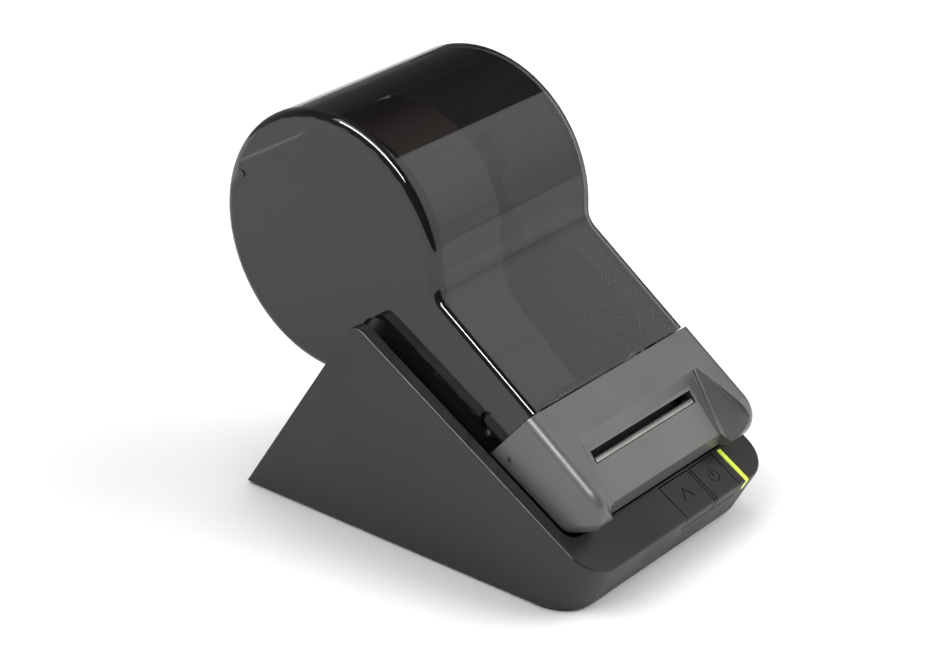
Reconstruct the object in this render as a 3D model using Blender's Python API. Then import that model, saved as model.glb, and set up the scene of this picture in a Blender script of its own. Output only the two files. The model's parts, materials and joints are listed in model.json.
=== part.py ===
"""Desktop label maker: wedge stand, printer body, smoked roll cover, front cap and feed mechanism.

Built in metres with +Z up. X runs across the machine, -Y is the front where labels leave it, and the
origin is the centre of the footprint on the table. Every length below is in millimetres.
"""

import math

import bmesh
import bpy
from mathutils import Matrix, Vector

MM = 0.001
PI = math.pi

# Stand
STAND_HALF = 54.0  # half width of the wedge
FRONT_FOOT = (-78.05, 1.0)  # lower front corner, side view (y, z)
FRONT_RIM = (-88.1, 19.15)  # front edge of the sloping top
APEX = (19.7, 83.95)  # highest corner of the side walls
REAR_FOOT = (75.03, 1.0)
SLOPE = math.radians(31.0)  # pitch of the sloping top
SLOPE_ORIGIN = (-87.2, 19.7)
CORNER_R = 13.0  # upright front corners
RIM_R = 2.6  # rounding of the sloping top's edge
WELL_HALF = 49.0  # well that takes the printer body
WELL_FRONT = 15.6  # distance up the slope at which the well starts
WELL_CORNER_R = 5.5
WALL = 2.5

# Printer body and cover
DRUM = (39.5, 104.9)  # axis of the roll chamber
DRUM_R = 50.0
COVER_HALF = 44.6
SKIN = 2.0
BODY_HALF = 42.2  # the body stands inside the cover's cheeks
HINGE = (80.6, 121.3)
PLATE = math.radians(36.0)  # pitch of the cover's flat front plate
SEAM_TOP = (-53.25, 68.33)
SEAM_LOW = (-39.6, 52.4)
PARTING_SLOPE = 0.564  # lower edge of the cover, z = PARTING_Z + slope * y
PARTING_Z = 74.7
FLANK = (24.3, 77.3)  # the lower edge then falls past this point, parallel to the stand's rear edge
FLANK_SLOPE = -1.5
HUMP_R = 7.0
COVER_END = 26.0  # degrees above the horizontal at which the cover's curved wall stops
SHELL_END = 12.0
LATCH = (-34.3, 58.4)
LATCH_R = 5.6

# Front cap
CAP_HALF = 47.4
CAP_FOOT = -0.7  # height of its lower edge above the sloping top, so it dips into the well
NOSE = (-74.6, 40.4)
NOSE_R = 10.0
LIP = math.radians(52.4)  # pitch of the flat panel below the slot
LIP_TOP = (-69.8, 48.4)
LIP_LENGTH = 14.4
SLOT_HALF = 29.5
SLOT_REACH = 6.1  # from the panel up to the recess's inner wall

# Roll, spool and feed
ROLL_X = (-28.7, 3.7)
ROLL_R = 40.0
PLATEN = (-57.5, 45.0)
PLATEN_R = 5.0
MODULE = 0.7
TEETH = {"platen": 14, "idler": 20, "pinion": 10}
HEAD_PIN = (-41.0, 57.6)

# Keys
KEY_TRAVEL = 0.5
KEY_REAR = 14.3
KEY_DEPTH = 5.5
FEED_KEY = (1.2, 17.8)
POWER_KEY = (19.6, 33.4)
PIPE_X = (37.1, 38.9)


# --------------------------------------------------------------------------- scene and materials

for old in list(bpy.data.objects):
    bpy.data.objects.remove(old, do_unlink=True)


def material(name, rgb, roughness, metallic=0.0, alpha=1.0, glow=0.0):
    mat = bpy.data.materials.new(name)
    mat.use_nodes = True
    shader = mat.node_tree.nodes["Principled BSDF"]
    shader.inputs["Base Color"].default_value = (*rgb, 1.0)
    shader.inputs["Roughness"].default_value = roughness
    shader.inputs["Metallic"].default_value = metallic
    shader.inputs["Alpha"].default_value = alpha
    if glow:
        shader.inputs["Emission Color"].default_value = (*rgb, 1.0)
        shader.inputs["Emission Strength"].default_value = glow
    return mat


COLOURS = {
    "stand_plastic": ((0.050, 0.046, 0.043), 0.55),
    "body_plastic": ((0.012, 0.011, 0.010), 0.40),
    "cap_plastic": ((0.200, 0.195, 0.190), 0.42),
    "smoke_plastic": ((0.050, 0.047, 0.048), 0.08, 0.0, 0.55),
    "rubber": ((0.020, 0.020, 0.020), 0.85),
    "steel": ((0.55, 0.55, 0.56), 0.32, 1.0),
    "paper": ((0.80, 0.77, 0.72), 0.80),
    "spool_plastic": ((0.030, 0.030, 0.032), 0.45),
    "board": ((0.020, 0.120, 0.050), 0.50),
    "part_plastic": ((0.025, 0.025, 0.027), 0.50),
    "light_pipe": ((0.55, 0.78, 0.05), 0.25, 0.0, 1.0, 1.5),
    "gear_plastic": ((0.75, 0.74, 0.68), 0.50),
    "aluminium": ((0.62, 0.63, 0.65), 0.35, 1.0),
    "ceramic": ((0.62, 0.60, 0.54), 0.30),
    "brass": ((0.70, 0.52, 0.22), 0.30, 1.0),
}
MATERIALS = {name: material(name, *values) for name, values in COLOURS.items()}


# --------------------------------------------------------------------------- shape tools


def points(pairs, x):
    return [(x * MM, y * MM, z * MM) for y, z in pairs]


def prism(profile, x0, x1):
    """A side-view outline of (y, z) points, extruded across the machine."""
    bm = bmesh.new()
    face = bm.faces.new([bm.verts.new(p) for p in points(profile, x0)])
    out = bmesh.ops.extrude_face_region(bm, geom=[face])
    moved = [v for v in out["geom"] if isinstance(v, bmesh.types.BMVert)]
    bmesh.ops.translate(bm, verts=moved, vec=((x1 - x0) * MM, 0, 0))
    bmesh.ops.recalc_face_normals(bm, faces=bm.faces)
    return bm


def slab(outline, z0, z1, frame=None):
    """A plan-view outline of (x, y) points, extruded up, in the frame's own axes."""
    bm = bmesh.new()
    face = bm.faces.new([bm.verts.new((x * MM, y * MM, z0 * MM)) for x, y in outline])
    out = bmesh.ops.extrude_face_region(bm, geom=[face])
    moved = [v for v in out["geom"] if isinstance(v, bmesh.types.BMVert)]
    bmesh.ops.translate(bm, verts=moved, vec=(0, 0, (z1 - z0) * MM))
    bmesh.ops.recalc_face_normals(bm, faces=bm.faces)
    if frame:
        bm.transform(frame)
    return bm


def block(x, y, z, frame=None):
    return slab([(x[0], y[0]), (x[1], y[0]), (x[1], y[1]), (x[0], y[1])], z[0], z[1], frame)


def turned(profile, y, z, steps=32, ring=False):
    """A profile of (x, radius) points turned about an axis across the machine."""
    bm = bmesh.new()
    verts = [bm.verts.new((x * MM, y * MM, (z + r) * MM)) for x, r in profile]
    edges = [bm.edges.new(pair) for pair in zip(verts, verts[1:])]
    if ring:
        edges.append(bm.edges.new((verts[-1], verts[0])))
    bmesh.ops.spin(
        bm, geom=verts + edges, cent=(0, y * MM, z * MM), axis=(1, 0, 0), dvec=(0, 0, 0),
        angle=2 * PI, steps=steps, use_merge=True, use_duplicate=False,
    )
    bmesh.ops.remove_doubles(bm, verts=bm.verts, dist=1e-7)
    bmesh.ops.recalc_face_normals(bm, faces=bm.faces)
    return bm


def rod(y, z, r, x0, x1, steps=24):
    return turned([(x0, 0), (x0, r), (x1, r), (x1, 0)], y, z, steps)


def tube(y, z, inner, outer, x0, x1, steps=32):
    return turned([(x0, inner), (x0, outer), (x1, outer), (x1, inner)], y, z, steps, ring=True)


def post(x, y, r, z0, z1, steps=20, frame=None):
    """A round bar that stands along the frame's own Z."""
    outline = [
        (x + r * math.cos(2 * PI * k / steps), y + r * math.sin(2 * PI * k / steps))
        for k in range(steps)
    ]
    return slab(outline, z0, z1, frame)


def bevel(bm, choose, width, segments=3):
    """Rounds the edges for which choose(middle, direction) holds, both in millimetres."""
    edges = []
    for edge in bm.edges:
        a, b = (v.co / MM for v in edge.verts)
        if choose((a + b) / 2, (b - a).normalized()):
            edges.append(edge)
    bmesh.ops.bevel(
        bm, geom=edges, offset=width * MM, segments=segments, profile=0.5, affect="EDGES",
        clamp_overlap=True,
    )
    bmesh.ops.recalc_face_normals(bm, faces=bm.faces)
    return bm


def node(name, bm, slot, origin=None):
    """Makes a visible part. origin puts its pivot on a joint's axis."""
    obj = helper(name, bm)
    obj.hide_render = False
    obj.display_type = "TEXTURED"
    obj.data.materials.append(MATERIALS[slot])
    obj.data.shade_smooth()
    obj.data.set_sharp_from_angle(angle=math.radians(32))
    if origin:
        at = Vector(origin) * MM
        obj.data.transform(Matrix.Translation(-at))
        obj.location = at
    return obj


def helper(name, bm):
    mesh = bpy.data.meshes.new(name)
    bm.to_mesh(mesh)
    bm.free()
    obj = bpy.data.objects.new(name, mesh)
    bpy.context.scene.collection.objects.link(obj)
    obj.hide_render = True
    obj.display_type = "WIRE"
    return obj


def boolean(obj, bm, operation, label):
    tool = helper(f"{obj.name}_{label}", bm)
    mod = obj.modifiers.new(label, "BOOLEAN")
    mod.operation = operation
    mod.solver = "EXACT"
    mod.object = tool
    return tool


def cut(obj, bm, label):
    return boolean(obj, bm, "DIFFERENCE", label)


def join(obj, bm, label):
    return boolean(obj, bm, "UNION", label)


def arc(centre, r, start, end, steps):
    """Points from start to end, both in degrees above +Y."""
    out = []
    for k in range(steps + 1):
        t = math.radians(start + (end - start) * k / steps)
        out.append((centre[0] + r * math.cos(t), centre[1] + r * math.sin(t)))
    return out


def on_slope(s, n):
    """Side-view point s up the sloping top and n above it."""
    return (
        SLOPE_ORIGIN[0] + s * math.cos(SLOPE) - n * math.sin(SLOPE),
        SLOPE_ORIGIN[1] + s * math.sin(SLOPE) + n * math.cos(SLOPE),
    )


SLOPE_FRAME = Matrix.Translation((0, SLOPE_ORIGIN[0] * MM, SLOPE_ORIGIN[1] * MM)) @ Matrix.Rotation(
    SLOPE, 4, "X"
)


def angle_of(centre, p):
    return math.degrees(math.atan2(p[1] - centre[1], p[0] - centre[0]))


def parting():
    """The cover's lower edge from the seam: a straight run, a rounded hump, then the flank to the drum."""
    rise, fall = math.atan(PARTING_SLOPE), math.atan(FLANK_SLOPE)
    # The hump's centre lies HUMP_R below both straight runs.
    run = PARTING_Z - HUMP_R / math.cos(rise)
    flank = FLANK[1] - FLANK_SLOPE * FLANK[0] - HUMP_R / math.cos(fall)
    y = (flank - run) / (PARTING_SLOPE - FLANK_SLOPE)
    centre = (y, run + PARTING_SLOPE * y)
    return arc(centre, HUMP_R, 90 + math.degrees(rise), 90 + math.degrees(fall), 7)


def drum(r, start, end, steps):
    return arc(DRUM, r, start, end, steps)


# --------------------------------------------------------------------------- stand


def wedge():
    """The stand's outside: a wedge with round upright front corners and a softened rim."""
    bm = prism([FRONT_FOOT, FRONT_RIM, APEX, REAR_FOOT], -STAND_HALF, STAND_HALF)
    bevel(bm, lambda m, d: abs(d.x) < 0.1 and m.y < -70 and abs(m.x) > 50, CORNER_R, 8)
    bevel(bm, lambda m, d: abs(d.x) > 0.9 and m.z > 80, 5.0, 4)
    bevel(
        bm,
        lambda m, d: m.z > 15
        and abs((m.y - SLOPE_ORIGIN[0]) * math.sin(SLOPE) - (m.z - SLOPE_ORIGIN[1]) * math.cos(SLOPE)) < 0.6
        and (abs(m.x) > 50 or m.y < -60),
        RIM_R,
        4,
    )
    return bm


WELL_FLOOR = ((-61.5, 11.8), (34.0, 55.2))  # underside of the printer body
BODY_LIFT = 1.3  # gap between that and the well
FLOOR_PITCH = math.atan2(WELL_FLOOR[1][1] - WELL_FLOOR[0][1], WELL_FLOOR[1][0] - WELL_FLOOR[0][0])


def below_body(y, drop):
    """Height of the line that runs drop below the printer body's underside."""
    return WELL_FLOOR[0][1] + (y - WELL_FLOOR[0][0]) * math.tan(FLOOR_PITCH) - drop / math.cos(FLOOR_PITCH)


def well():
    """The space for the printer body, with round front corners that follow the front cap's."""
    flat = below_body(WELL_FLOOR[1][0], BODY_LIFT)
    side = [on_slope(WELL_FRONT, 30), on_slope(WELL_FRONT, -21.4), (WELL_FLOOR[1][0], flat), (120, flat), (120, 170)]
    bm = prism(side, -WELL_HALF, WELL_HALF)
    bevel(bm, lambda m, d: abs(d.x) < 0.1 and abs(m.x) > 40 and m.y < -60 and m.z < 50, WELL_CORNER_R, 5)
    return bm


stand = node("base_shell", wedge(), "stand_plastic")
cut(stand, well(), "well")

inner_front = [
    (FRONT_FOOT[0] + 3.6, -2.0),
    on_slope(WALL, -12),
    on_slope(WALL, -WALL),
    on_slope(WELL_FRONT - WALL, -WALL),
    on_slope(WELL_FRONT - WALL, -24.5),
    (-50.0, below_body(-50.0, BODY_LIFT + WALL)),
    (-50.0, -2.0),
]
cut(stand, prism(inner_front, -45.0, 45.0), "front_hollow")
inner_rear = [
    (-64.0, -2.0),
    (-64.0, below_body(-64.0, BODY_LIFT + WALL)),
    (33.0, below_body(33.0, BODY_LIFT + WALL)),
    (38.3, 51.0),
    (REAR_FOOT[0] - 3.1, 0.6),
    (REAR_FOOT[0] - 3.1, -2.0),
]
cut(stand, prism(inner_rear, -50.5, 50.5), "rear_hollow")

for label, (x0, x1) in (("feed_key", FEED_KEY), ("power_key", POWER_KEY)):
    pocket = block((x0 - 0.35, x1 + 0.35), (-12, KEY_REAR + 0.35), (-KEY_DEPTH - KEY_TRAVEL - 0.3, 8), SLOPE_FRAME)
    cut(stand, pocket, label + "_pocket")
pipe_slot = block((PIPE_X[0] - 0.3, PIPE_X[1] + 0.3), (-12, KEY_REAR + 0.3), (-1.9, 8), SLOPE_FRAME)
cut(stand, pipe_slot, "pipe_slot")
pipe_front = block((PIPE_X[0] - 0.3, PIPE_X[1] + 0.3), (-12, 1.7), (-KEY_DEPTH, 8), SLOPE_FRAME)
cut(stand, pipe_front, "pipe_front")
cut(stand, post(38.0, 9.0, 1.5, -4, 0, 16, SLOPE_FRAME), "pipe_hole")

SCREWS = ((-40.0, -38.0), (40.0, -38.0), (-40.0, 54.0), (40.0, 54.0))
for k, (x, y) in enumerate(SCREWS):
    top = below_body(y, BODY_LIFT) - 1.0 if y < 0 else 27.5
    join(stand, post(x, y, 3.6, 3.9, top), f"boss_{k}")
    cut(stand, post(x, y, 1.5, 0, 14.0, 12), f"pilot_{k}")
BOARD_POSTS = ((-3.0, 8.0), (42.0, 8.0))
for k, (x, s) in enumerate(BOARD_POSTS):
    join(stand, post(x, s, 2.2, -13.7, -1.5, 14, SLOPE_FRAME), f"board_post_{k}")
    cut(stand, post(x, s, 0.95, -14.5, -5.0, 10, SLOPE_FRAME), f"board_pilot_{k}")

USB = (-20.0, -8.0)
JACK = (10.0, 20.0)
for label, (x0, x1) in (("usb", USB), ("jack", JACK)):
    cut(stand, block((x0 - 0.6, x1 + 0.6), (55, 82), (9.2, 22.4)), label + "_port")
for k in range(7):
    x = -18.0 + 6.0 * k
    slot = block((x - 1.0, x + 1.0), (38, 70), (31, 43))
    cut(stand, slot, f"vent_{k}")


plate_outline = [
    (-44.7, FRONT_FOOT[0] + 4.0), (44.7, FRONT_FOOT[0] + 4.0), (44.7, -63.7), (50.2, -63.7),
    (50.2, REAR_FOOT[0] - 5.7), (-50.2, REAR_FOOT[0] - 5.7), (-50.2, -63.7), (-44.7, -63.7),
]
bottom = node("base_bottom_plate", slab(plate_outline, 1.0, 3.6), "stand_plastic")
FEET = {"foot_front_left": (-34.0, -64.0), "foot_front_right": (34.0, -64.0),
        "foot_rear_left": (-40.0, 63.0), "foot_rear_right": (40.0, 63.0)}
for name, (x, y) in FEET.items():
    cut(bottom, post(x, y, 6.3, 0, 2.3, 24), name + "_seat")
    foot = post(x, y, 6.0, 0, 2.0, 24)
    bevel(foot, lambda m, d: m.z < 0.1, 0.5, 2)
    node(name, foot, "rubber")
for k, (x, y) in enumerate(SCREWS):
    cut(bottom, post(x, y, 3.0, 0, 2.2, 18), f"head_seat_{k}")
    cut(bottom, post(x, y, 1.6, 1, 5, 14), f"screw_hole_{k}")
    screw = node(f"base_screw_{k + 1}", post(x, y, 2.6, 1.05, 1.9, 18), "steel")
    join(screw, post(x, y, 1.2, 1.5, 12.0, 14), "shank")
    cut(screw, block((x - 1.7, x + 1.7), (y - 0.3, y + 0.3), (0.5, 1.5)), "drive_a")
    cut(screw, block((x - 0.3, x + 0.3), (y - 1.7, y + 1.7), (0.5, 1.5)), "drive_b")


# --------------------------------------------------------------------------- keys and light


def key(name, x0, x1):
    """A key that wraps over the stand's front edge, cut out of the stand's own outside shape."""
    origin = (0.5 * (x0 + x1), *on_slope(7.0, 0.0))
    obj = node(name, wedge(), "stand_plastic", origin)
    boolean(obj, block((x0, x1), (-12, KEY_REAR), (-KEY_DEPTH, 8), SLOPE_FRAME), "INTERSECT", "blank")
    join(obj, post(0.5 * (x0 + x1), 8.0, 1.8, -8.6, -4.0, 14, SLOPE_FRAME), "stem")
    return obj


def bar(x0, s0, x1, s1, width):
    """A straight engraved stroke on the sloping top."""
    long = math.hypot(x1 - x0, s1 - s0)
    turn = Matrix.Rotation(math.atan2(s1 - s0, x1 - x0), 4, "Z")
    place = SLOPE_FRAME @ Matrix.Translation((x0 * MM, s0 * MM, 0)) @ turn
    return block((-width / 2, long + width / 2), (-width / 2, width / 2), (-0.35, 3), place)


feed_key = key("feed_button", *FEED_KEY)
mid = 0.5 * sum(FEED_KEY)
cut(feed_key, bar(mid - 2.6, 5.6, mid, 9.8, 0.5), "chevron_left")
cut(feed_key, bar(mid + 2.6, 5.6, mid, 9.8, 0.5), "chevron_right")
power_key = key("power_button", *POWER_KEY)
mid = 0.5 * sum(POWER_KEY)
ring_points = [
    (mid + r * math.cos(math.radians(t)), 7.4 + r * math.sin(math.radians(t)))
    for r, span in ((2.6, range(125, 416, 29)), (2.1, range(415, 124, -29)))
    for t in span
]
cut(power_key, slab(ring_points, -0.35, 3, SLOPE_FRAME), "power_ring")
cut(power_key, bar(mid, 7.6, mid, 10.4, 0.5), "power_stroke")

pipe = node("light_pipe", wedge(), "light_pipe")
boolean(pipe, block(PIPE_X, (-12, KEY_REAR), (-KEY_DEPTH + 0.4, 8), SLOPE_FRAME), "INTERSECT", "blank")
cut(pipe, block((PIPE_X[0] - 1, PIPE_X[1] + 1), (1.3, 30), (-9, -1.5), SLOPE_FRAME), "inside")
join(pipe, post(38.0, 9.0, 0.85, -9.6, -1.0, 14, SLOPE_FRAME), "stem")

board = node("button_board", block((-5.5, 44.0), (3.2, 12.6), (-15.6, -14.0), SLOPE_FRAME), "board")
for k, (x, s) in enumerate(BOARD_POSTS):
    cut(board, post(x, s, 1.1, -18, -12, 12, SLOPE_FRAME), f"hole_{k}")
    screw = node(f"board_screw_{k + 1}", post(x, s, 1.8, -16.9, -15.9, 14, SLOPE_FRAME), "steel")
    join(screw, post(x, s, 0.65, -16.5, -8.0, 10, SLOPE_FRAME), "shank")
for name, (x0, x1) in (("feed_switch", FEED_KEY), ("power_switch", POWER_KEY)):
    x = 0.5 * (x0 + x1)
    switch = node(name, block((x - 3, x + 3), (5.0, 11.0), (-13.7, -10.6), SLOPE_FRAME), "part_plastic")
    join(switch, post(x, 8.0, 1.5, -12, -9.8, 14, SLOPE_FRAME), "plunger")
led = node("status_led", block((36.8, 39.2), (7.8, 10.2), (-13.7, -12.2), SLOPE_FRAME), "part_plastic")
join(led, post(38.0, 9.0, 0.9, -12.6, -10.4, 12, SLOPE_FRAME), "dome")


# --------------------------------------------------------------------------- main board and ports

main_board = node("main_board", block((-42, 34), (-28, 49), (7.0, 8.6)), "board")
for k, (x, y) in enumerate(((-34.0, -20.0), (26.0, -20.0), (-34.0, 42.0), (26.0, 42.0))):
    join(bottom, post(x, y, 2.4, 3.0, 6.7, 14), f"standoff_{k}")
    cut(bottom, post(x, y, 0.9, 2.5, 8.0, 10), f"standoff_pilot_{k}")
    cut(main_board, post(x, y, 1.2, 6, 10, 12), f"hole_{k}")
    screw = node(f"main_screw_{k + 1}", post(x, y, 2.0, 8.9, 10.1, 14), "steel")
    join(screw, post(x, y, 0.6, 3.2, 9.4, 10), "shank")
usb = node("usb_socket", block(USB, (49.4, 60.6), (9.8, 20.6)), "steel")
cut(usb, block((USB[0] + 1.6, USB[1] - 1.6), (52.5, 62), (11.4, 19.0)), "mouth")
join(usb, block((USB[0] + 3.4, USB[1] - 3.4), (52.0, 59.6), (13.4, 16.4)), "tongue")
join(usb, block((USB[0] + 2, USB[1] - 2), (44.0, 50.0), (8.95, 12.0)), "tail")
jack = node("dc_jack", block(JACK, (49.4, 60.6), (9.8, 20.6)), "part_plastic")
along_y = Matrix.Rotation(-PI / 2, 4, "X")
cut(jack, post(15.0, -15.2, 3.1, 51.5, 62, 20, along_y), "barrel")
join(jack, post(15.0, -15.2, 0.9, 50.5, 59.4, 12, along_y), "pin")
join(jack, block((JACK[0] + 2, JACK[1] - 2), (44.0, 50.0), (8.95, 12.0)), "tail")


# --------------------------------------------------------------------------- printer body

seam_dir = (SEAM_LOW[0] - SEAM_TOP[0], SEAM_LOW[1] - SEAM_TOP[1])
seam_len = math.hypot(*seam_dir)
seam_dir = (seam_dir[0] / seam_len, seam_dir[1] / seam_len)
seam_out = (seam_dir[1], -seam_dir[0])  # points to the front


def seam(t, gap):
    """Point t down the seam from its top, moved gap to the front."""
    return (
        SEAM_TOP[0] + seam_dir[0] * t + seam_out[0] * gap,
        SEAM_TOP[1] + seam_dir[1] * t + seam_out[1] * gap,
    )


body_outline = (
    [WELL_FLOOR[0], WELL_FLOOR[1]]
    + drum(DRUM_R, -96, SHELL_END, 22)
    + [(70, 112), (60, 100), (12, 100), (-55, 70), on_slope(18.0, 26.0)]
)
body = node("body_housing", prism(body_outline, -BODY_HALF, BODY_HALF), "body_plastic")
chamber = (
    [on_slope(20.0, 60), on_slope(20.0, -17.9), (31.0, below_body(31.0, -SKIN))]
    + drum(DRUM_R - SKIN, -96, 21, 22)
    + [(150, 160)]
)
cut(body, prism(chamber, -BODY_HALF + SKIN, BODY_HALF - SKIN), "chamber")
open_side = (
    [(-90.0, PARTING_Z + 3.0 - 90.0 * PARTING_SLOPE), (12.0, PARTING_Z + 3.0 + 12.0 * PARTING_SLOPE)]
    + [(22.0, 82.5), (33.0, 72.5), (43.0, 65.0), (52.0, 61.5)]
    + drum(DRUM_R - SKIN, -58, 21, 15)
    + [(150, 160), (-90, 190)]
)
cut(body, prism(open_side, -50, 50), "open_side")
under_cap = [seam(-20, -0.6), seam(26, -0.6), on_slope(10, -1.4), on_slope(10, 60)]
cut(body, prism(under_cap, -50, 50), "cap_space")
web = [(88.2, 114.0), (86.4, 112.6), (79.4, 118.6), (81.8, 121.4), (82.6, 121.4)]
join(body, prism(web, -BODY_HALF + 0.1, BODY_HALF - 0.1), "web")
join(body, rod(HINGE[0], HINGE[1], 4.0, -BODY_HALF, BODY_HALF), "barrel")
for label, side in (("left", -1), ("right", 1)):
    x = sorted((side * 34.0, side * 50.0))
    cut(body, rod(HINGE[0], HINGE[1], 1.6, *x), f"pin_bore_{label}")
    x = sorted((side * 36.0, side * (COVER_HALF + 0.4)))
    pin = rod(HINGE[0], HINGE[1], 1.5, *x)
    node(f"hinge_pin_{label}", pin, "part_plastic", (0, *HINGE))


# --------------------------------------------------------------------------- roll cover

plate_tan = math.tan(PLATE)


def plate_z(y, drop):
    return SEAM_TOP[1] + (y - SEAM_TOP[0]) * plate_tan - drop / math.cos(PLATE)


def fillet(r_drum, r_fill, drop):
    """Centre of the concave corner between the drum and the flat plate, outside both."""
    lift = r_fill - drop
    a = 1 + plate_tan**2
    z0 = SEAM_TOP[1] - SEAM_TOP[0] * plate_tan + lift / math.cos(PLATE) - DRUM[1]
    b = 2 * (plate_tan * z0 - DRUM[0])
    c = DRUM[0] ** 2 + z0 * z0 - (r_drum + r_fill) ** 2
    y = (-b - math.sqrt(b * b - 4 * a * c)) / (2 * a)
    return (y, DRUM[1] + z0 + plate_tan * y)


def cover_top(inset, end, steps):
    """From the seam up the flat plate, round the corner and over the drum to the angle end."""
    r_fill = 7.0 + inset
    centre = fillet(DRUM_R - inset, r_fill, inset)
    turn = angle_of(DRUM, centre) % 360
    corner = arc(centre, r_fill, -90 + math.degrees(PLATE), turn - 180, 5)
    return corner + drum(DRUM_R - inset, turn, end, steps)[1:]


# Outline of a side cheek: seam, plate, drum, and back along the lower edge from the drum's foot.
cheek = [SEAM_LOW, SEAM_TOP] + cover_top(0.0, -90.5, 60) + list(reversed(parting()))
cover_bm = prism(cheek, -COVER_HALF, COVER_HALF)
R_EDGE = 3.2


def on_outer_edge(m, d):
    """The long side edges along the plate and the drum, not those along the parting edge."""
    if abs(d.x) > 0.5 or abs(m.x) < COVER_HALF - 0.1:
        return False
    from_drum = math.hypot(m.y - DRUM[0], m.z - DRUM[1])
    on_drum = from_drum > DRUM_R - 0.6 and from_drum < DRUM_R + 0.1
    near_plate = abs(m.z - plate_z(m.y, 0)) < 0.3 and m.y > SEAM_TOP[0]
    corner = fillet(DRUM_R, 7.0, 0.0)
    on_corner = abs(math.hypot(m.y - corner[0], m.z - corner[1]) - 7.0) < 0.3
    return on_drum or near_plate or on_corner


bevel(cover_bm, on_outer_edge, R_EDGE, 4)
cover = node("roll_cover", cover_bm, "smoke_plastic", (0, *HINGE))
hollow = (
    [(-70, 15), (-70, plate_z(-70, SKIN))]
    + cover_top(SKIN, COVER_END, 40)
    + [(130, 150), (150, 20)]
)
cut(cover, prism(hollow, -COVER_HALF + SKIN, COVER_HALF - SKIN), "hollow")
for label, x0, x1 in (("left", -COVER_HALF, -COVER_HALF + SKIN), ("right", COVER_HALF - SKIN, COVER_HALF)):
    join(cover, rod(LATCH[0], LATCH[1], LATCH_R, x0, x1, 28), f"latch_{label}")
cut(cover, rod(HINGE[0], HINGE[1], 1.6, -60, 60), "hinge_bore")
crescent = arc(LATCH, 4.4, -100, 110, 12) + arc((LATCH[0] - 1.5, LATCH[1] + 0.3), 3.6, 92, -84, 10)
cut(cover, prism(crescent, -60, 60), "crescent")


# --------------------------------------------------------------------------- front cap

lip_dir = (-math.cos(LIP), -math.sin(LIP))  # down the panel, to the front
lip_out = (-math.sin(LIP), math.cos(LIP))


def on_lip(t, m):
    """Side-view point t down the panel from the slot's lower edge and m out of it."""
    return (
        LIP_TOP[0] + lip_dir[0] * t + lip_out[0] * m,
        LIP_TOP[1] + lip_dir[1] * t + lip_out[1] * m,
    )


cap_outline = (
    [seam(25.4, 0.6), seam(0.0, 0.6)]
    + arc(NOSE, NOSE_R, 90 + math.degrees(PLATE), 252, 12)
    + [on_slope(17.6, CAP_FOOT)]
)
cap_bm = prism(cap_outline, -CAP_HALF, CAP_HALF)


bevel(cap_bm, lambda m, d: abs(d.x) < 0.5 and abs(m.x) > 47 and (
    abs(m.z - plate_z(m.y, 0)) < 1.0 or math.dist((m.y, m.z), NOSE) > NOSE_R - 0.6 and m.y < -74), 4.0, 5)
bevel(cap_bm, lambda m, d: abs(d.x) < 0.5 and abs(m.x) > 46 and abs(
    (m.z - SLOPE_ORIGIN[1]) * math.cos(SLOPE) - (m.y - SLOPE_ORIGIN[0]) * math.sin(SLOPE) - CAP_FOOT) < 0.4
    and m.y > -72, 2.4, 3)
cap = node("front_cap", cap_bm, "cap_plastic")



def undercut():
    """Space below the panel. It widens downwards, so no sharp wing is left beside the panel."""
    side = [on_lip(LIP_LENGTH, 0.0), on_slope(14.6, -4), on_slope(0, -4), on_slope(-5, 20), on_lip(LIP_LENGTH + 9, 6)]
    bm = prism(side, -33.0, 33.0)
    for vert in bm.verts:
        if math.dist((vert.co.y / MM, vert.co.z / MM), side[0]) > 0.1:
            vert.co.x *= 38.5 / 33.0
    bmesh.ops.triangulate(bm, faces=bm.faces)
    return bm


cut(cap, undercut(), "undercut")


def recess():
    """The dished label exit: a steep inner wall, a narrow ridge and a flare that opens to the front."""
    bm = bmesh.new()
    rise = math.tan(math.radians(2.5))
    rear, front = [], []
    for x, m in ((30.6, 0.0), (33.0, 3.4), (34.3, 3.6), (34.6, 4.2), (34.6, 26.0)):
        up = m / (math.cos(LIP) + math.sin(LIP) * -rise)
        y, z = on_lip(-SLOT_REACH, 0.0)
        rear.append((x, y + up * rise, z + up))
    for x, m in ((31.8, 0.0), (33.2, -0.4), (35.0, -0.2), (44.6, 8.0), (44.6, 26.0)):
        y, z = on_lip(LIP_LENGTH + 6.0, m)
        front.append((x, y, z))
    loops = []
    for half in (rear, front):
        loop = half + [(-x, y, z) for x, y, z in reversed(half)]
        loops.append([bm.verts.new((x * MM, y * MM, z * MM)) for x, y, z in loop])
    bm.faces.new(loops[0])
    bm.faces.new(list(reversed(loops[1])))
    for k in range(len(loops[0])):
        a, b = loops[0][k - 1], loops[0][k]
        c, d = loops[1][k], loops[1][k - 1]
        bm.faces.new((a, b, c))
        bm.faces.new((a, c, d))
    bmesh.ops.recalc_face_normals(bm, faces=bm.faces)
    return bm


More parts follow.
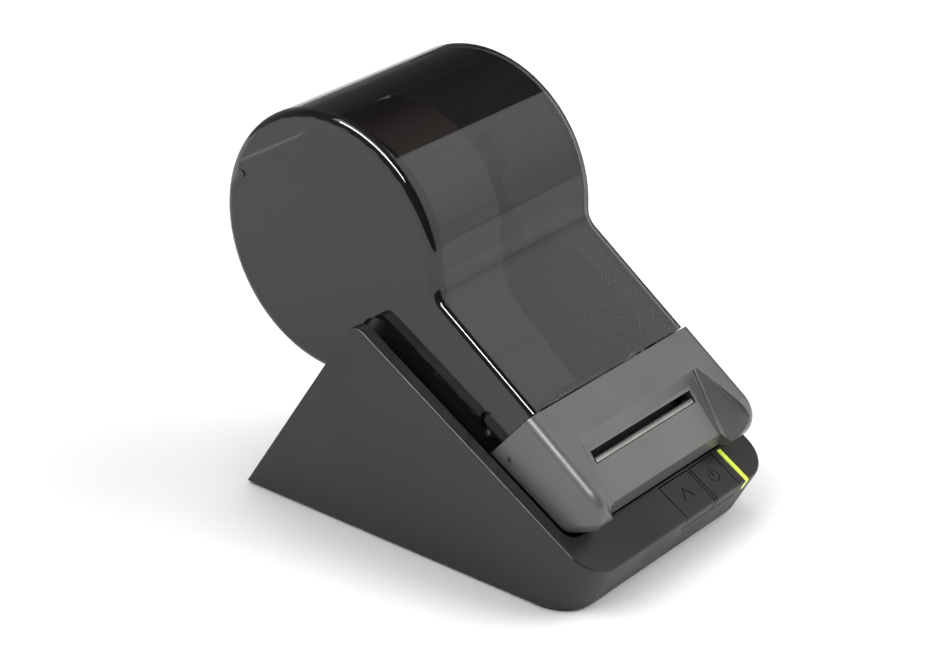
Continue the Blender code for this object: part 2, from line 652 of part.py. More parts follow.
cut(cap, recess(), "recess")
back_in = on_lip(-SLOT_REACH, 0.0)
cap_hollow = [
    seam(40, -8), seam(2.2, -8), (SEAM_TOP[0] + 1, plate_z(SEAM_TOP[0] + 1, 2.2)),
    (back_in[0] + 2.2, plate_z(back_in[0] + 2.2, 2.2)),
    (back_in[0] + 2.0, back_in[1] + 0.9),
    (back_in[0] + 2.0, back_in[1] - 6.0),
    on_lip(0.6, -2.2), on_lip(LIP_LENGTH - 1.6, -2.2), on_slope(17.4, -4),
]
cut(cap, prism(cap_hollow, -42.0, 42.0), "hollow")
slot = [(back_in[0] - 0.5, back_in[1] - 0.8), (back_in[0] + 6, back_in[1] - 0.8),
        (back_in[0] + 6, back_in[1] - 6.5), on_lip(0.0, -3.0), on_lip(0.0, 1.0)]
cut(cap, prism(slot, -SLOT_HALF, SLOT_HALF), "slot")
rebate = [on_lip(-1, -0.9), on_lip(7.0, -0.9), on_lip(7.0, -3.2), on_lip(-1, -3.2)]
cut(cap, prism(rebate, -SLOT_HALF - 0.3, SLOT_HALF + 0.3), "tear_rebate")
for label, side in (("left", -1), ("right", 1)):
    x = sorted((side * (CAP_HALF - 0.7), side * (CAP_HALF + 3)))
    cut(cap, rod(-45.8, 48.9, 1.2, *x, 16), f"dimple_{label}")

# Serrated tear bar, drawn on the panel's plane and pushed through its own thickness.
pitch = 1.15
count = int(2 * (SLOT_HALF - 0.2) / pitch)
edge_x = [-0.5 * count * pitch + k * pitch / 2 for k in range(2 * count + 1)]
comb = [(x, -1.9 if k % 2 else -0.5) for k, x in enumerate(edge_x)] + [(edge_x[-1], 0.0), (edge_x[0], 0.0)]
comb = [(x, t - 0.25) for x, t in comb]
plate = [(edge_x[0], -0.6), (edge_x[0], 6.6), (edge_x[-1], 6.6), (edge_x[-1], -0.6)]
LIP_FRAME = Matrix((
    (-1, 0, 0, 0),
    (0, lip_dir[0], lip_out[0], LIP_TOP[0] * MM),
    (0, lip_dir[1], lip_out[1], LIP_TOP[1] * MM),
    (0, 0, 0, 1),
))
tear_bar = node("tear_bar", slab(plate, -1.8, -1.2, LIP_FRAME), "steel")
join(tear_bar, slab(comb, -1.7, -0.3, LIP_FRAME), "comb")


# --------------------------------------------------------------------------- roll and spool

node("label_roll", tube(*DRUM, 13.0, ROLL_R, *ROLL_X, 56), "paper", (0, *DRUM))
spindle_profile = [
    (-36.8, 0), (-36.8, 3.5), (-32.4, 3.5), (-32.4, 12.6), (7.0, 12.6), (7.0, 3.5), (11.4, 3.5), (11.4, 0),
]
spindle = turned(spindle_profile, *DRUM, 32)
node("spool_spindle", spindle, "spool_plastic", (0, *DRUM))
node("spool_flange_left", tube(*DRUM, 12.9, 38.6, -31.6, -29.1, 48), "spool_plastic", (0, *DRUM))
flange = node("spool_flange_right", tube(*DRUM, 12.9, 26.0, 4.1, 6.6, 40), "spool_plastic", (0, *DRUM))
for k in range(5):
    y, z = arc(DRUM, 19.5, 72 * k, 72 * k, 1)[0]
    cut(flange, rod(y, z, 4.0, 2.1, 8.6, 10), f"window_{k}")


def floor_z(y, lift=0.5):
    """Just above the inside floor of the printer body."""
    return below_body(y, -SKIN - lift)


def spool_arm(name, x0, x1):
    """An upright that carries one end of the spindle in an open slot, with a guard reaching forward."""
    outline = (
        [(10.0, floor_z(10.0)), (28.0, floor_z(28.0, 0.8)), (33.0, 57.9)]
        + drum(47.0, -86, -60, 5)
        + [(55.0, 84.0), (50.0, 112.0), (45.0, 116.0), (43.4, 116.0)]
        + [(43.4, DRUM[1])] + arc(DRUM, 3.9, 0, -180, 8) + [(35.6, 116.0), (33.0, 116.0)]
        + [(29.0, 114.0), (22.0, 122.0), (19.0, 131.0), (12.0, 138.5), (9.5, 137.5), (8.5, 133.0)]
        + [(2.0, 129.0), (5.0, 119.5), (2.0, 114.0), (-5.0, 106.0), (-6.6, 96.0), (-3.0, 84.0)]
        + [(6.0, 70.0)]
    )
    arm = node(name, prism(outline, x0, x1), "spool_plastic")
    window = [(11.0, 124.0), (16.0, 127.0), (13.0, 133.0), (8.0, 130.0)]
    cut(arm, prism(window, x0 - 2, x1 + 2), "window")
    return arm


spool_arm("spool_arm_left", -36.2, -33.6)
spool_arm("spool_arm_right", 8.2, 10.8)

# The label web from the roll's front down to the slot, and the guide under it.
ROUTE = [(-1.4, 101.0), (-1.9, 92.0), (-5.0, 83.0), (-12.0, 75.5), (-21.0, 68.4), (-30.0, 60.6),
         (-38.0, 54.4), (-45.0, 51.4), (-51.0, 50.6), (-57.5, 50.5), (-61.5, 50.5)]


def smooth(route, per):
    """A Catmull-Rom curve through the route's points."""
    ends = [route[0]] + route + [route[-1]]
    out = []
    for k in range(1, len(ends) - 2):
        p = ends[k - 1 : k + 3]
        for j in range(per):
            t = j / per
            out.append(tuple(
                0.5 * (2 * p[1][i] + (p[2][i] - p[0][i]) * t
                       + (2 * p[0][i] - 5 * p[1][i] + 4 * p[2][i] - p[3][i]) * t * t
                       + (3 * p[1][i] - p[0][i] - 3 * p[2][i] + p[3][i]) * t**3)
                for i in (0, 1)
            ))
    return out + [route[-1]]


def ribbon(route, near, far):
    """Both sides of a sheet that follows the route, from near to far on its right-hand side."""
    sides = ([], [])
    for k, p in enumerate(route):
        a, b = route[max(k - 1, 0)], route[min(k + 1, len(route) - 1)]
        long = math.dist(a, b)
        out = ((b[1] - a[1]) / long, -(b[0] - a[0]) / long)
        for side, gap in zip(sides, (near, far)):
            side.append((p[0] + out[0] * gap, p[1] + out[1] * gap))
    return sides[0] + sides[1][::-1]


web_route = smooth(ROUTE, 3)
node("label_strip", prism(ribbon(web_route, -0.2, 0.2), -28.4, 3.4), "paper")
guide_route = [p for p in web_route if -47.0 < p[0] < -5.5]
guide = node("feed_guide", prism(ribbon(guide_route, -2.6, -1.0), -30.2, 6.0), "body_plastic")
for k, y in enumerate((-36.0, -14.0)):
    top = min(guide_route, key=lambda p: abs(p[0] - y))
    rib = [(y - 1, floor_z(y - 1)), (y + 1, floor_z(y + 1, 1.2)), (y + 1, top[1] - 3.0), (y - 1, top[1] - 3.0)]
    join(guide, prism(rib, -29.2, 5.0), f"rib_{k}")

cover_out = [(-37.2, 67.0), (-9.5, 87.1), (-6.0, 88.2), (-3.0, 87.6), (-0.6, 85.0), (0.4, 81.0),
             (0.4, floor_z(0.4, 1.0)), (-37.2, floor_z(-37.2))]
mech_cover = node("mechanism_cover", prism(cover_out, 12.4, 39.0), "body_plastic")
cover_in = [(-50.0, 55.2), (-9.0, 85.0), (-4.0, 85.4), (-1.8, 81.0), (-1.8, floor_z(-1.8, -4)), (-50, 10)]
cut(mech_cover, prism(cover_in, 14.0, 37.4), "hollow")
join(mech_cover, prism([(-36.0, 66.8), (-12.0, 84.3), (-12.0, 86.3), (-36.0, 68.8)], 25.0, 26.0), "ridge")


# --------------------------------------------------------------------------- feed and print mechanism


def gear(name, centre, teeth, x0, x1, phase, bore, slot, hub=None):
    """A spur gear about an axis across the machine. phase is the direction of one tooth, in degrees."""
    r = MODULE * teeth / 2
    half = PI * MODULE / 4 - 0.09
    step = 2 * PI / teeth
    outline = []
    for k in range(teeth):
        for radius, width in ((r - 0.85, half + 0.30), (r, half), (r + 0.62, half - 0.24)):
            outline.append((radius, k * step - width / radius))
        for radius, width in ((r + 0.62, half - 0.24), (r, half), (r - 0.85, half + 0.30)):
            outline.append((radius, k * step + width / radius))
    turn = math.radians(phase)
    pts = [(centre[0] + q * math.cos(t + turn), centre[1] + q * math.sin(t + turn)) for q, t in outline]
    obj = node(name, prism(pts, x0, x1), slot, (0, *centre))
    if hub:
        join(obj, rod(*centre, hub[0], hub[1], hub[2], 20), "hub")
    cut(obj, rod(*centre, bore, x0 - 5, x1 + 5, 20), "bore")
    return obj


def mate(phase, direction, teeth, other):
    """Phase of the gear that meshes in the given direction with one of this phase."""
    step = 360 / teeth
    ahead = ((direction - phase) / step) % 1.0  # part of a tooth pitch past the last tooth
    return direction + 180 + (ahead - 0.5) * 360 / other


r_platen, r_idler, r_pinion = (MODULE * TEETH[k] / 2 for k in ("platen", "idler", "pinion"))
to_idler = -20.0
IDLER = arc(PLATEN, r_platen + r_idler, to_idler, to_idler, 1)[0]
to_pinion = -14.0
MOTOR = arc(IDLER, r_idler + r_pinion, to_pinion, to_pinion, 1)[0]
phase_idler = mate(0.0, to_idler, TEETH["platen"], TEETH["idler"])
phase_pinion = mate(phase_idler, to_pinion, TEETH["idler"], TEETH["pinion"])

node("platen_roller", tube(*PLATEN, 2.9, PLATEN_R, -28.9, 28.9, 32), "rubber", (0, *PLATEN))
node("platen_shaft", rod(*PLATEN, 2.0, -33.6, 37.2, 24), "steel", (0, *PLATEN))
sleeve = tube(*PLATEN, 2.06, 2.6, -28.9, 28.9, 24)
node("platen_core", sleeve, "part_plastic", (0, *PLATEN))
gear("platen_gear", PLATEN, TEETH["platen"], 33.6, 36.6, 0.0, 2.06, "gear_plastic")
gear("idler_gear", IDLER, TEETH["idler"], 33.6, 36.6, phase_idler, 1.56, "gear_plastic")
gear("motor_pinion", MOTOR, TEETH["pinion"], 33.6, 36.6, phase_pinion, 1.06, "brass")
node("idler_pin", turned([(30.2, 0), (30.2, 1.5), (37.0, 1.5), (37.0, 0)], *IDLER, 20), "steel")
node("motor_shaft", rod(*MOTOR, 1.0, 28.2, 37.0, 16), "steel", (0, *MOTOR))
motor = node("feed_motor", turned(
    [(14.6, 0), (14.6, 8.6), (15.2, 9.4), (28.6, 9.4), (28.6, 4.0), (29.8, 4.0), (29.8, 0)], *MOTOR, 32), "aluminium")
cut(motor, rod(*MOTOR, 1.1, 28.0, 32.0, 16), "shaft_hole")

chassis_left = [(-63.6, 38.0), (-63.6, 49.0), (-61.0, 55.6), (-44.0, 60.6), (-37.6, 60.6), (-37.6, 54.0), (-49.0, 47.0), (-49.0, 38.0)]
chassis_right = [(-63.6, 38.0), (-63.6, 49.0), (-61.0, 55.6), (-44.0, 60.6), (-37.6, 60.6), (-37.6, 54.0),
                 (-27.6, 46.0), (-27.6, 30.5), (-45.0, 30.5), (-49.0, 38.0)]
chassis = node("print_chassis", block((-32.2, 32.2), (-63.4, -49.2), (38.0, 39.4)), "aluminium")
join(chassis, prism(chassis_left, -32.3, -31.0), "left")
join(chassis, prism(chassis_right, 31.0, 32.3), "right")
for name, x0, x1 in (("platen_bush_left", -32.9, -30.2), ("platen_bush_right", 30.2, 32.9)):
    node(name, tube(*PLATEN, 2.06, 3.4, x0, x1, 24), "brass")
cut(chassis, rod(*PLATEN, 3.7, -40, 40, 24), "bush_seats")
cut(chassis, rod(*IDLER, 1.8, 20, 40, 16), "idler_seat")
cut(chassis, rod(*MOTOR, 4.3, 20, 40, 20), "motor_seat")
cut(chassis, rod(*HEAD_PIN, 1.8, -40, 40, 16), "head_pin_seats")

head = node("print_head", block((-29.0, 29.0), (-63.2, -51.6), (51.0, 53.0)), "ceramic", (0, *HEAD_PIN))
bracket = node("head_bracket", block((-29.4, 29.4), (-62.6, -43.0), (53.3, 54.9)), "aluminium", (0, *HEAD_PIN))
for k in range(4):
    y = -60.5 + 3.4 * k
    join(bracket, block((-28.0, 28.0), (y, y + 1.0), (54.4, 57.2)), f"fin_{k}")
lug = [(-46.0, 53.9), (-43.2, 53.9), (-38.8, 55.6), (-38.6, 58.6), (-40.0, 60.0), (-42.2, 60.0), (-46.0, 56.0)]
for label, x0, x1 in (("left", -29.4, -27.8), ("right", 27.8, 29.4)):
    join(bracket, prism(lug, x0, x1), f"lug_{label}")
cut(bracket, rod(*HEAD_PIN, 1.56, -60, 60, 20), "pivot_bore")
node("head_pivot_pin", rod(*HEAD_PIN, 1.5, -33.4, 33.4, 20), "steel")
node("head_spring", tube(*HEAD_PIN, 1.9, 3.0, -12.0, 12.0, 20), "steel")
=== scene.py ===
"""Looks of the desktop label maker: moulded shells, paper, mechanism, studio and camera."""

import json
import math

import bmesh
import bpy
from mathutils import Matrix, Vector


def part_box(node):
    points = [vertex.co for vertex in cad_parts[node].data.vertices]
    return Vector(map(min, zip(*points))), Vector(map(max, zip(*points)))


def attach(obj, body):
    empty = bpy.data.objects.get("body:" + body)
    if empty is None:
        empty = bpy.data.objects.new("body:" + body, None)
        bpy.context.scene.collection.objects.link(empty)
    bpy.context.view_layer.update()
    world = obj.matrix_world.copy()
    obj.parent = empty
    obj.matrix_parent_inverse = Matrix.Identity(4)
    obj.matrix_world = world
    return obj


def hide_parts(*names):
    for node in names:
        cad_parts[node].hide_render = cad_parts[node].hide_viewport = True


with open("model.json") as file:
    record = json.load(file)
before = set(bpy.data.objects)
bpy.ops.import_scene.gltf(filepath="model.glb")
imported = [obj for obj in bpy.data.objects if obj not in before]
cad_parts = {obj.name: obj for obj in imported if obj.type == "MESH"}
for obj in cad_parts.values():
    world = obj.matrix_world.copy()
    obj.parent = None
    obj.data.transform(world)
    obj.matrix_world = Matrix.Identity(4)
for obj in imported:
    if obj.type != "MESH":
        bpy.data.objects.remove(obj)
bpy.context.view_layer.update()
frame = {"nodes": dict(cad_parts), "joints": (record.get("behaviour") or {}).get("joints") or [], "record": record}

MM = 0.001
NODES = frame["nodes"]
BODY_OF = {node: body for body, nodes in frame["record"]["behaviour"]["bodies"].items() for node in nodes}
SLOT_OF = {part["node"]: part["material_slot"] for part in frame["record"]["subparts"]}
JOINTS = {joint["name"]: joint for joint in frame["joints"]}
ROLL_AXIS = Vector(JOINTS["spool_spin"]["pos_m"])


def outward(azimuth, elevation):
    """Unit vector from the object. Azimuth is in degrees from the front, positive to the right."""
    a, e = math.radians(azimuth), math.radians(elevation)
    return Vector((math.sin(a) * math.cos(e), -math.cos(a) * math.cos(e), math.sin(e)))


def add_object(name, data):
    obj = bpy.data.objects.new(name, data)
    bpy.context.scene.collection.objects.link(obj)
    return obj


# --------------------------------------------------------------------------- camera

AZIMUTH, ELEVATION = -50.698, 26.207
EYE = Vector((-675.65, -544.54, 492.78)) * MM
LENS, SENSOR = 100.82, 36.0  # focal length and sensor width, in millimetres

camera_data = bpy.data.cameras.new("camera")
camera_data.lens = LENS
camera_data.sensor_width = SENSOR
camera_data.clip_start, camera_data.clip_end = 0.05, 30.0
camera = add_object("camera", camera_data)
camera.location = EYE
camera.rotation_mode = "QUATERNION"
camera.rotation_quaternion = (-outward(AZIMUTH, ELEVATION)).to_track_quat("-Z", "Y")
bpy.context.scene.camera = camera
bpy.context.scene.view_settings.view_transform = "Standard"


# --------------------------------------------------------------------------- material tools


class Nodes:
    """A shader tree, with short ways to add its nodes and join them."""

    def __init__(self, tree):
        self.tree = tree

    def add(self, kind, **settings):
        node = self.tree.nodes.new(kind)
        for name, value in settings.items():
            setattr(node, name, value)
        return node

    def wire(self, source, socket):
        """Links a socket to another, or sets it to a plain value."""
        if isinstance(source, bpy.types.NodeSocket):
            self.tree.links.new(source, socket)
        else:
            socket.default_value = source

    def math(self, operation, *values):
        node = self.add("ShaderNodeMath", operation=operation)
        for socket, value in zip(node.inputs, values):
            self.wire(value, socket)
        return node.outputs[0]

    def times(self, first, *others):
        for other in others:
            first = self.math("MULTIPLY", first, other)
        return first

    def plus(self, first, second):
        return self.math("ADD", first, second)

    def minus(self, first, second):
        return self.math("SUBTRACT", first, second)

    def below(self, value, limit):
        return self.math("LESS_THAN", value, limit)

    def near(self, value, middle, reach):
        """1 where the value is within reach of the middle, else 0."""
        return self.below(self.math("ABSOLUTE", self.minus(value, middle)), reach)

    def span(self, value, low, high, out_low=0.0, out_high=1.0, smooth=True):
        node = self.add("ShaderNodeMapRange", interpolation_type="SMOOTHSTEP" if smooth else "LINEAR")
        for socket, given in zip(node.inputs, (value, low, high, out_low, out_high)):
            self.wire(given, socket)
        return node.outputs[0]

    def split(self, vector):
        """The X, Y and Z outputs of a vector."""
        node = self.add("ShaderNodeSeparateXYZ")
        self.wire(vector, node.inputs[0])
        return node.outputs


MIX_FACTOR, MIX_FIRST, MIX_SECOND, MIX_RESULT = 0, 6, 7, 2  # the mix node's sockets for colours


class Finish(Nodes):
    """A procedural material. Patterns are placed in the object's own metres."""

    def __init__(self, name, roughness, metallic=0.0, **uniform):
        self.mat = bpy.data.materials.new(name)
        self.mat.use_nodes = True
        super().__init__(self.mat.node_tree)
        self.shader = self.tree.nodes["Principled BSDF"]
        self.shader.inputs["Metallic"].default_value = metallic
        self.shader.inputs["Roughness"].default_value = roughness
        for socket, value in uniform.items():
            self.shader.inputs[socket.replace("_", " ")].default_value = value
        self.place = self.add("ShaderNodeTexCoord").outputs["Object"]
        self.normal = self.add("ShaderNodeNewGeometry").outputs["Normal"]

    def spread(self, stretch):
        node = self.add("ShaderNodeMapping")
        self.wire(self.place, node.inputs["Vector"])
        node.inputs["Scale"].default_value = stretch
        return node.outputs[0]

    def noise(self, size, detail=3.0, stretch=None, distortion=0.0):
        """Noise whose features are about size metres across."""
        node = self.add("ShaderNodeTexNoise")
        self.wire(self.spread(stretch) if stretch else self.place, node.inputs["Vector"])
        node.inputs["Scale"].default_value = 1.0 / size
        node.inputs["Detail"].default_value = detail
        node.inputs["Distortion"].default_value = distortion
        return node.outputs["Fac"]

    def level(self, noise, out_low=0.0, out_high=1.0):
        """Stretches the middle of a noise, where most of it lies, over a range."""
        return self.span(noise, 0.3, 0.7, out_low, out_high)

    def mix(self, factor, first, second):
        node = self.add("ShaderNodeMix", data_type="RGBA")
        self.wire(factor, node.inputs[MIX_FACTOR])
        for socket, value in ((node.inputs[MIX_FIRST], first), (node.inputs[MIX_SECOND], second)):
            self.wire((*value, 1.0) if isinstance(value, tuple) else value, socket)
        return node.outputs[MIX_RESULT]

    def edges(self, radius):
        """1 on edges that are sharper than a rounding of this radius, 0 on flat ground."""
        bevel = self.add("ShaderNodeBevel", samples=3)
        bevel.inputs["Radius"].default_value = radius
        dot = self.add("ShaderNodeVectorMath", operation="DOT_PRODUCT")
        self.wire(bevel.outputs[0], dot.inputs[0])
        self.wire(self.normal, dot.inputs[1])
        return self.span(dot.outputs["Value"], 0.98, 0.75)

    def openness(self, reach, samples):
        """Ambient occlusion: 1 in open ground, less in gaps and corners within this reach."""
        node = self.add("ShaderNodeAmbientOcclusion", samples=samples)
        node.inputs["Distance"].default_value = reach
        return node.outputs["AO"]

    def turning(self, facing):
        """How far the surface leans sideways, squared, and a mask of the roundings between side and top."""
        sideways = self.times(facing["X"], facing["X"])
        return sideways, self.times(sideways, self.minus(1.0, sideways))

    def bump(self, height, depth):
        node = self.add("ShaderNodeBump")
        node.inputs["Strength"].default_value = 1.0
        node.inputs["Distance"].default_value = depth
        self.wire(height, node.inputs["Height"])
        self.wire(node.outputs[0], self.shader.inputs["Normal"])

    def colour(self, value):
        self.wire((*value, 1.0) if isinstance(value, tuple) else value, self.shader.inputs["Base Color"])

    def roughness(self, value):
        self.wire(value, self.shader.inputs["Roughness"])


def scaled(rgb, factor):
    return tuple(channel * factor for channel in rgb)


# Sizes of the patterns in a moulding, in metres.
MOTTLE = 0.045  # slow drifts of colour
DULL_PATCH = 0.02  # patches of dust
WORN_EDGE = 0.0007  # edges sharper than this rounding are worn pale
WEAR_BREAK = 0.006  # breaks in the wear along an edge
PAINTED_SHADE_GAP = 0.0016  # gaps narrower than this get painted shade


def moulded(name, rgb, rough, grain, depth, wear=0.0, metallic=0.0, mottle=0.12, handled=0.0, **uniform):
    """Moulded or painted plastic: fine grain, slow mottling, dust-dull patches, paler worn edges and painted shade
    in gaps.

    handled is how far the large upper roundings along the sides are polished by hands.
    """
    finish = Finish(name, rough, metallic, **uniform)
    fine = finish.noise(grain, 4.0)
    slow = finish.noise(MOTTLE, 3.0, distortion=0.6)
    base = finish.mix(finish.level(slow), scaled(rgb, 1.0 - mottle), scaled(rgb, 1.0 + mottle))
    base = finish.mix(finish.span(fine, 0.35, 0.7, 0.0, 0.35), base, scaled(rgb, 1.35))
    if wear:
        broken = finish.span(finish.noise(WEAR_BREAK), 0.35, 0.65, 0.3, 1.0)
        base = finish.mix(finish.times(finish.edges(WORN_EDGE), broken, wear), base, scaled(rgb, 2.0))
    # Painted shade: the colour darkens towards 0.15 of itself in gaps and corners that ambient occlusion finds.
    clear = finish.span(finish.openness(PAINTED_SHADE_GAP, 4), 0.25, 0.8)
    finish.colour(finish.mix(clear, scaled(rgb, 0.15), base))
    patches = finish.level(finish.noise(DULL_PATCH, 5.0), rough - 0.05, rough + 0.06)
    if handled:
        facing = finish.split(finish.normal)
        rounding = finish.span(finish.turning(facing)[1], 0.06, 0.2)
        upward = finish.span(facing["Z"], 0.15, 0.4)
        patches = finish.minus(patches, finish.times(rounding, upward, handled))
    finish.roughness(patches)
    finish.bump(fine, depth)
    return finish.mat


def metal(name, rgb, rough, stretch, depth=0.00001):
    """Drawn or rolled metal with fine lines along one direction."""
    finish = Finish(name, rough, 1.0)
    lines = finish.noise(0.0004, 3.0, stretch=stretch)
    slow = finish.noise(0.012, 3.0)
    finish.colour(finish.mix(finish.level(slow), scaled(rgb, 0.85), scaled(rgb, 1.08)))
    finish.roughness(finish.span(lines, 0.25, 0.75, rough - 0.08, rough + 0.14))
    finish.bump(lines, depth)
    return finish.mat


# --------------------------------------------------------------------------- materials

CHEEK_OPACITY, FRONT_OPACITY, RIM_OPACITY = 0.80, 0.60, 0.97  # of the smoked cover
CLEAR_FROM, CLEAR_FULL = 4.0 * MM, -22.0 * MM  # from the roll's axis, where the cover's front grows clearer


def smoked():
    """Smoked clear plastic. The rounded edge, where the wall is seen along its length, is nearly black."""
    finish = Finish("smoke_plastic", 0.04, IOR=1.5, Specular_IOR_Level=0.64)
    facing = finish.split(finish.normal)
    sideways, rounding = finish.turning(facing)
    rim = finish.span(rounding, 0.03, 0.16)
    haze = finish.level(finish.noise(0.03, 4.0), 0.9, 1.1)
    tint = finish.mix(finish.times(haze, 0.5), (0.006, 0.0050, 0.0050), (0.015, 0.0126, 0.0128))
    finish.colour(finish.mix(rim, tint, (0.003, 0.0027, 0.0025)))
    y = finish.split(finish.place)["Y"]
    ahead = finish.span(y, ROLL_AXIS.y + CLEAR_FULL, ROLL_AXIS.y + CLEAR_FROM, 1.0, 0.0)
    front = finish.times(ahead, finish.below(sideways, 0.5))
    opacity = finish.span(front, 0.0, 1.0, CHEEK_OPACITY, FRONT_OPACITY, False)
    dense = finish.times(rim, finish.minus(RIM_OPACITY, opacity))
    finish.wire(finish.plus(opacity, dense), finish.shader.inputs["Alpha"])
    smears = finish.noise(0.004, 5.0, stretch=(0.4, 1.0, 1.0))
    far_rim = finish.times(rim, finish.span(facing["X"], 0.1, 0.4, 0.0, 0.5))
    finish.roughness(finish.plus(finish.span(smears, 0.4, 0.8, 0.012, 0.035), far_rim))
    return finish.mat


CORE_RADIUS = 14.6 * MM
TURNS_PER_METRE = 4200.0
LABELS_PER_RADIAN, LABEL_ON_ROLL = 1.59, 0.93  # how often labels come round, and how much of that is label


def paper_roll():
    """Wound labels: concentric turns on the ends, label edges round the outside, a board core inside."""
    finish = Finish("paper_roll", 0.75)
    away = finish.add("ShaderNodeVectorMath", operation="SUBTRACT")
    finish.wire(finish.place, away.inputs[0])
    away.inputs[1].default_value = (0.0, ROLL_AXIS.y, ROLL_AXIS.z)
    parts = finish.split(away.outputs[0])
    y, z = parts["Y"], parts["Z"]
    radius = finish.math("SQRT", finish.plus(finish.times(y, y), finish.times(z, z)))
    turns = finish.add("ShaderNodeTexNoise", noise_dimensions="1D")
    finish.wire(radius, turns.inputs["W"])
    turns.inputs["Scale"].default_value = TURNS_PER_METRE
    turns.inputs["Detail"].default_value = 2.0
    repeat = finish.math("FRACT", finish.times(finish.math("ARCTAN2", y, z), LABELS_PER_RADIAN))
    gap = finish.math("GREATER_THAN", repeat, LABEL_ON_ROLL)
    layers = finish.level(turns.outputs["Fac"], 0.0, 0.6)
    base = finish.mix(layers, (0.66, 0.59, 0.52), (0.48, 0.42, 0.36))
    outside = finish.below(finish.math("ABSOLUTE", finish.split(finish.normal)["X"]), 0.5)
    label = finish.mix(gap, (0.66, 0.59, 0.53), (0.58, 0.51, 0.44))
    base = finish.mix(outside, base, label)
    finish.colour(finish.mix(finish.below(radius, CORE_RADIUS), base, (0.30, 0.21, 0.13)))
    finish.bump(finish.plus(turns.outputs["Fac"], finish.noise(0.0006, 3.0)), 0.00004)
    return finish.mat


STRIP_MARGIN = 1.4 * MM  # bare backing on each side of the labels
STRIP_RUN = (0.79, 0.61)  # the strip's general direction, in Y and Z
LABELS_PER_METRE, LABEL_ON_STRIP = 34.0, 0.91


def paper_strip():
    """Die-cut labels on their backing paper."""
    finish = Finish("paper_strip", 0.7)
    parts = finish.split(finish.place)
    low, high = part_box("label_strip")
    half = 0.5 * (high.x - low.x) - STRIP_MARGIN
    inside = finish.near(parts["X"], 0.5 * (low.x + high.x), half)
    along = finish.plus(finish.times(parts["Y"], STRIP_RUN[0]), finish.times(parts["Z"], STRIP_RUN[1]))
    on_label = finish.below(finish.math("FRACT", finish.times(along, LABELS_PER_METRE)), LABEL_ON_STRIP)
    label = finish.times(inside, on_label)
    fibres = finish.noise(0.0005, 4.0, stretch=(1.0, 2.5, 2.5))
    white = finish.mix(finish.level(fibres, 0.0, 0.3), (0.70, 0.64, 0.58), (0.62, 0.56, 0.50))
    finish.colour(finish.mix(label, (0.55, 0.49, 0.42), white))
    finish.bump(finish.plus(finish.times(label, 2.0), fibres), 0.00002)
    return finish.mat


TRACKS = {"Scale": 130.0, "Mortar Size": 0.035, "Brick Width": 0.9, "Row Height": 0.3}


def circuit_board():
    """Green solder mask over copper tracks, with bare pads."""
    finish = Finish("circuit_board", 0.35)
    tracks = finish.add("ShaderNodeTexBrick")
    finish.wire(finish.spread((1.0, 0.55, 1.0)), tracks.inputs["Vector"])
    for socket, value in TRACKS.items():
        tracks.inputs[socket].default_value = value
    pads = finish.add("ShaderNodeTexVoronoi")
    finish.wire(finish.place, pads.inputs["Vector"])
    pads.inputs["Scale"].default_value = 260.0
    pad = finish.below(pads.outputs["Distance"], 0.16)
    mask = finish.mix(finish.level(finish.noise(0.01)), (0.008, 0.075, 0.030), (0.014, 0.105, 0.042))
    base = finish.mix(tracks.outputs["Fac"], mask, (0.03, 0.17, 0.065))
    finish.colour(finish.mix(pad, base, (0.58, 0.55, 0.45)))
    finish.wire(pad, finish.shader.inputs["Metallic"])
    finish.bump(finish.plus(tracks.outputs["Fac"], pad), 0.00005)
    return finish.mat


def lit_pipe():
    """Light pipe lit from behind, with flow lines in the moulding."""
    finish = Finish("light_pipe", 0.22, Emission_Strength=0.38)
    flow = finish.noise(0.0015, 3.0, stretch=(3.0, 0.6, 0.6))
    green = finish.mix(finish.level(flow), (0.54, 0.70, 0.055), (0.66, 0.80, 0.085))
    finish.colour(green)
    finish.wire(green, finish.shader.inputs["Emission Color"])
    finish.bump(flow, 0.00002)
    return finish.mat


def rubber(name, rgb):
    """Moulded rubber with fine pores and a dusty bloom."""
    finish = Finish(name, 0.8)
    pores = finish.noise(0.0003, 4.0)
    bloom = finish.span(finish.noise(0.006, 4.0), 0.45, 0.75, 0.0, 0.4)
    finish.colour(finish.mix(bloom, rgb, scaled(rgb, 2.2)))
    finish.roughness(finish.level(pores, 0.68, 0.9))
    finish.bump(pores, 0.00003)
    return finish.mat


HEATER_INSET, HEATER_HALF = 5.7 * MM, 0.4 * MM  # the heater line, from the head's front edge


def glazed():
    """Glazed ceramic head with a darker heater line along its front edge."""
    finish = Finish("ceramic", 0.25)
    low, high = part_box("print_head")
    line = finish.near(finish.split(finish.place)["Y"], low.y + HEATER_INSET, HEATER_HALF)
    body = finish.mix(finish.level(finish.noise(0.002, 4.0)), (0.58, 0.56, 0.50), (0.66, 0.64, 0.58))
    finish.colour(finish.mix(line, body, (0.10, 0.07, 0.05)))
    finish.bump(finish.noise(0.0008, 3.0), 0.00001)
    return finish.mat


